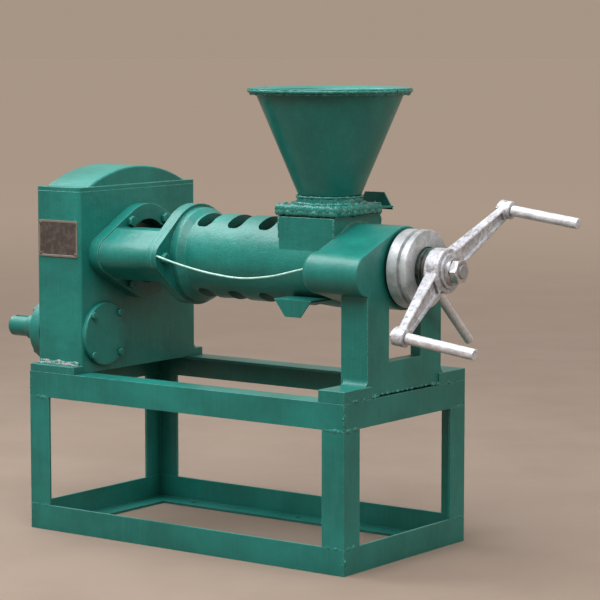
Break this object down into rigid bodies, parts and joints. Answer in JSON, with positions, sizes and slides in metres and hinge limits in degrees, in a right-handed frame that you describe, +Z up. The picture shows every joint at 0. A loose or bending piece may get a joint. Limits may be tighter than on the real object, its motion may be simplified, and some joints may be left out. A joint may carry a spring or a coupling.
{
  "type": "screw oil press",
  "caption": "Screw oil press on an angle-iron stand: seed hopper, slotted barrel with worm, gearbox with input shaft, adjusting screw with two-arm crank.",
  "frame": {"origin": "on the floor, at the middle of the stand's floor bolt holes", "axes": "+X along the press from the gearbox to the crank, +Y to the side away from the input shaft, +Z up"},
  "size_m": [1.1549, 0.404, 0.8829],
  "materials": {
    "green_enamel": "teal-green gloss enamel, brushed on over castings and angle iron",
    "bare_steel": "machined, lightly oiled",
    "gear_iron": "cut teeth, oiled",
    "turned_steel": "turned, dull silver with stains",
    "silver_paint": "white-silver paint on a casting",
    "plate_aluminium": "blank plate, satin",
    "screw_steel": "dark, with green overspray and rust",
    "pale_wire": "pale green coating"
  },
  "bodies": {
    "press_frame": {"blank_plate": "plate_aluminium", "cake_housing": "green_enamel", "cake_ring": "bare_steel", "carrier_bolts": "green_enamel", "ear_bolts": "green_enamel", "gearbox_cover": "green_enamel", "gearbox_housing": "green_enamel", "hopper": "green_enamel", "hopper_base": "green_enamel", "hopper_lower_plate": "green_enamel", "input_bearings": "bare_steel", "input_carrier": "green_enamel", "main_bearings": "bare_steel", "neck_bolts": "green_enamel", "pinion_cover": "green_enamel", "pinion_cover_bolts": "green_enamel", "plate_rivets": "bare_steel", "press_barrel": "green_enamel", "press_rings": "bare_steel", "rear_cap": "green_enamel", "rear_cap_bolts": "green_enamel", "stand_bottom_rail_back": "green_enamel", "stand_bottom_rail_front": "green_enamel", "stand_bottom_rail_left": "green_enamel", "stand_bottom_rail_right": "green_enamel", "stand_leg_back_left": "green_enamel", "stand_leg_back_right": "green_enamel", "stand_leg_front_left": "green_enamel", "stand_leg_front_right": "green_enamel", "stand_top_rail_back": "green_enamel", "stand_top_rail_front": "green_enamel", "stand_top_rail_left": "green_enamel", "stand_top_rail_right": "green_enamel", "wire": "pale_wire"},
    "gear_wheel": {"main_gear": "gear_iron"},
    "drive_shaft": {"input_shaft": "bare_steel", "pinion_key": "bare_steel", "pinion": "gear_iron"},
    "thrust_seat": {"thrust_bearing": "bare_steel"},
    "worm": {"worm_shaft": "bare_steel"},
    "crank": {"adjusting_screw": "screw_steel", "handle": "silver_paint", "grips": "silver_paint", "grip_nuts": "silver_paint", "handle_washers": "bare_steel", "handle_nut": "bare_steel"},
    "lock_ring": {"lock_nut": "turned_steel", "lock_nut_lever": "turned_steel"},
    "feed_slide": {"feed_gate": "green_enamel"},
    "drain_slide": {"drain_gate": "green_enamel"}
  },
  "joints": [
    {"name": "main_gear_spin", "type": "hinge", "parent": "press_frame", "child": "gear_wheel", "pos_m": [-0.325, 0, 0.55], "axis": [1, 0, 0], "continuous": true},
    {"name": "input_shaft_spin", "type": "hinge", "parent": "press_frame", "child": "drive_shaft", "pos_m": [-0.4, -0.112, 0.39123], "axis": [1, 0, 0], "continuous": true},
    {"name": "screw_shift", "type": "slide", "parent": "press_frame", "child": "thrust_seat", "axis": [1, 0, 0], "range_m": [-0.008, 0.012]},
    {"name": "worm_spin", "type": "hinge", "parent": "thrust_seat", "child": "worm", "pos_m": [0, 0, 0.55], "axis": [1, 0, 0], "continuous": true},
    {"name": "handle_turn", "type": "hinge", "parent": "thrust_seat", "child": "crank", "pos_m": [0.465, 0, 0.55], "axis": [1, 0, 0], "range_deg": [-360, 540]},
    {"name": "lock_nut_turn", "type": "hinge", "parent": "press_frame", "child": "lock_ring", "pos_m": [0.403, 0, 0.55], "axis": [1, 0, 0], "range_deg": [0, 60]},
    {"name": "feed_gate_slide", "type": "slide", "parent": "press_frame", "child": "feed_slide", "axis": [0, 1, 0], "range_m": [-0.074, 0.012]},
    {"name": "drain_gate_slide", "type": "slide", "parent": "press_frame", "child": "drain_slide", "axis": [0, -1, 0], "range_m": [0, 0.075]}
  ],
  "couplings": [
    {"joint": "input_shaft_spin", "follows": "main_gear_spin", "ratio": -3.619},
    {"joint": "worm_spin", "follows": "main_gear_spin", "ratio": 1},
    {"joint": "screw_shift", "follows": "handle_turn", "m_per_rad": 0.0012732}
  ]
}
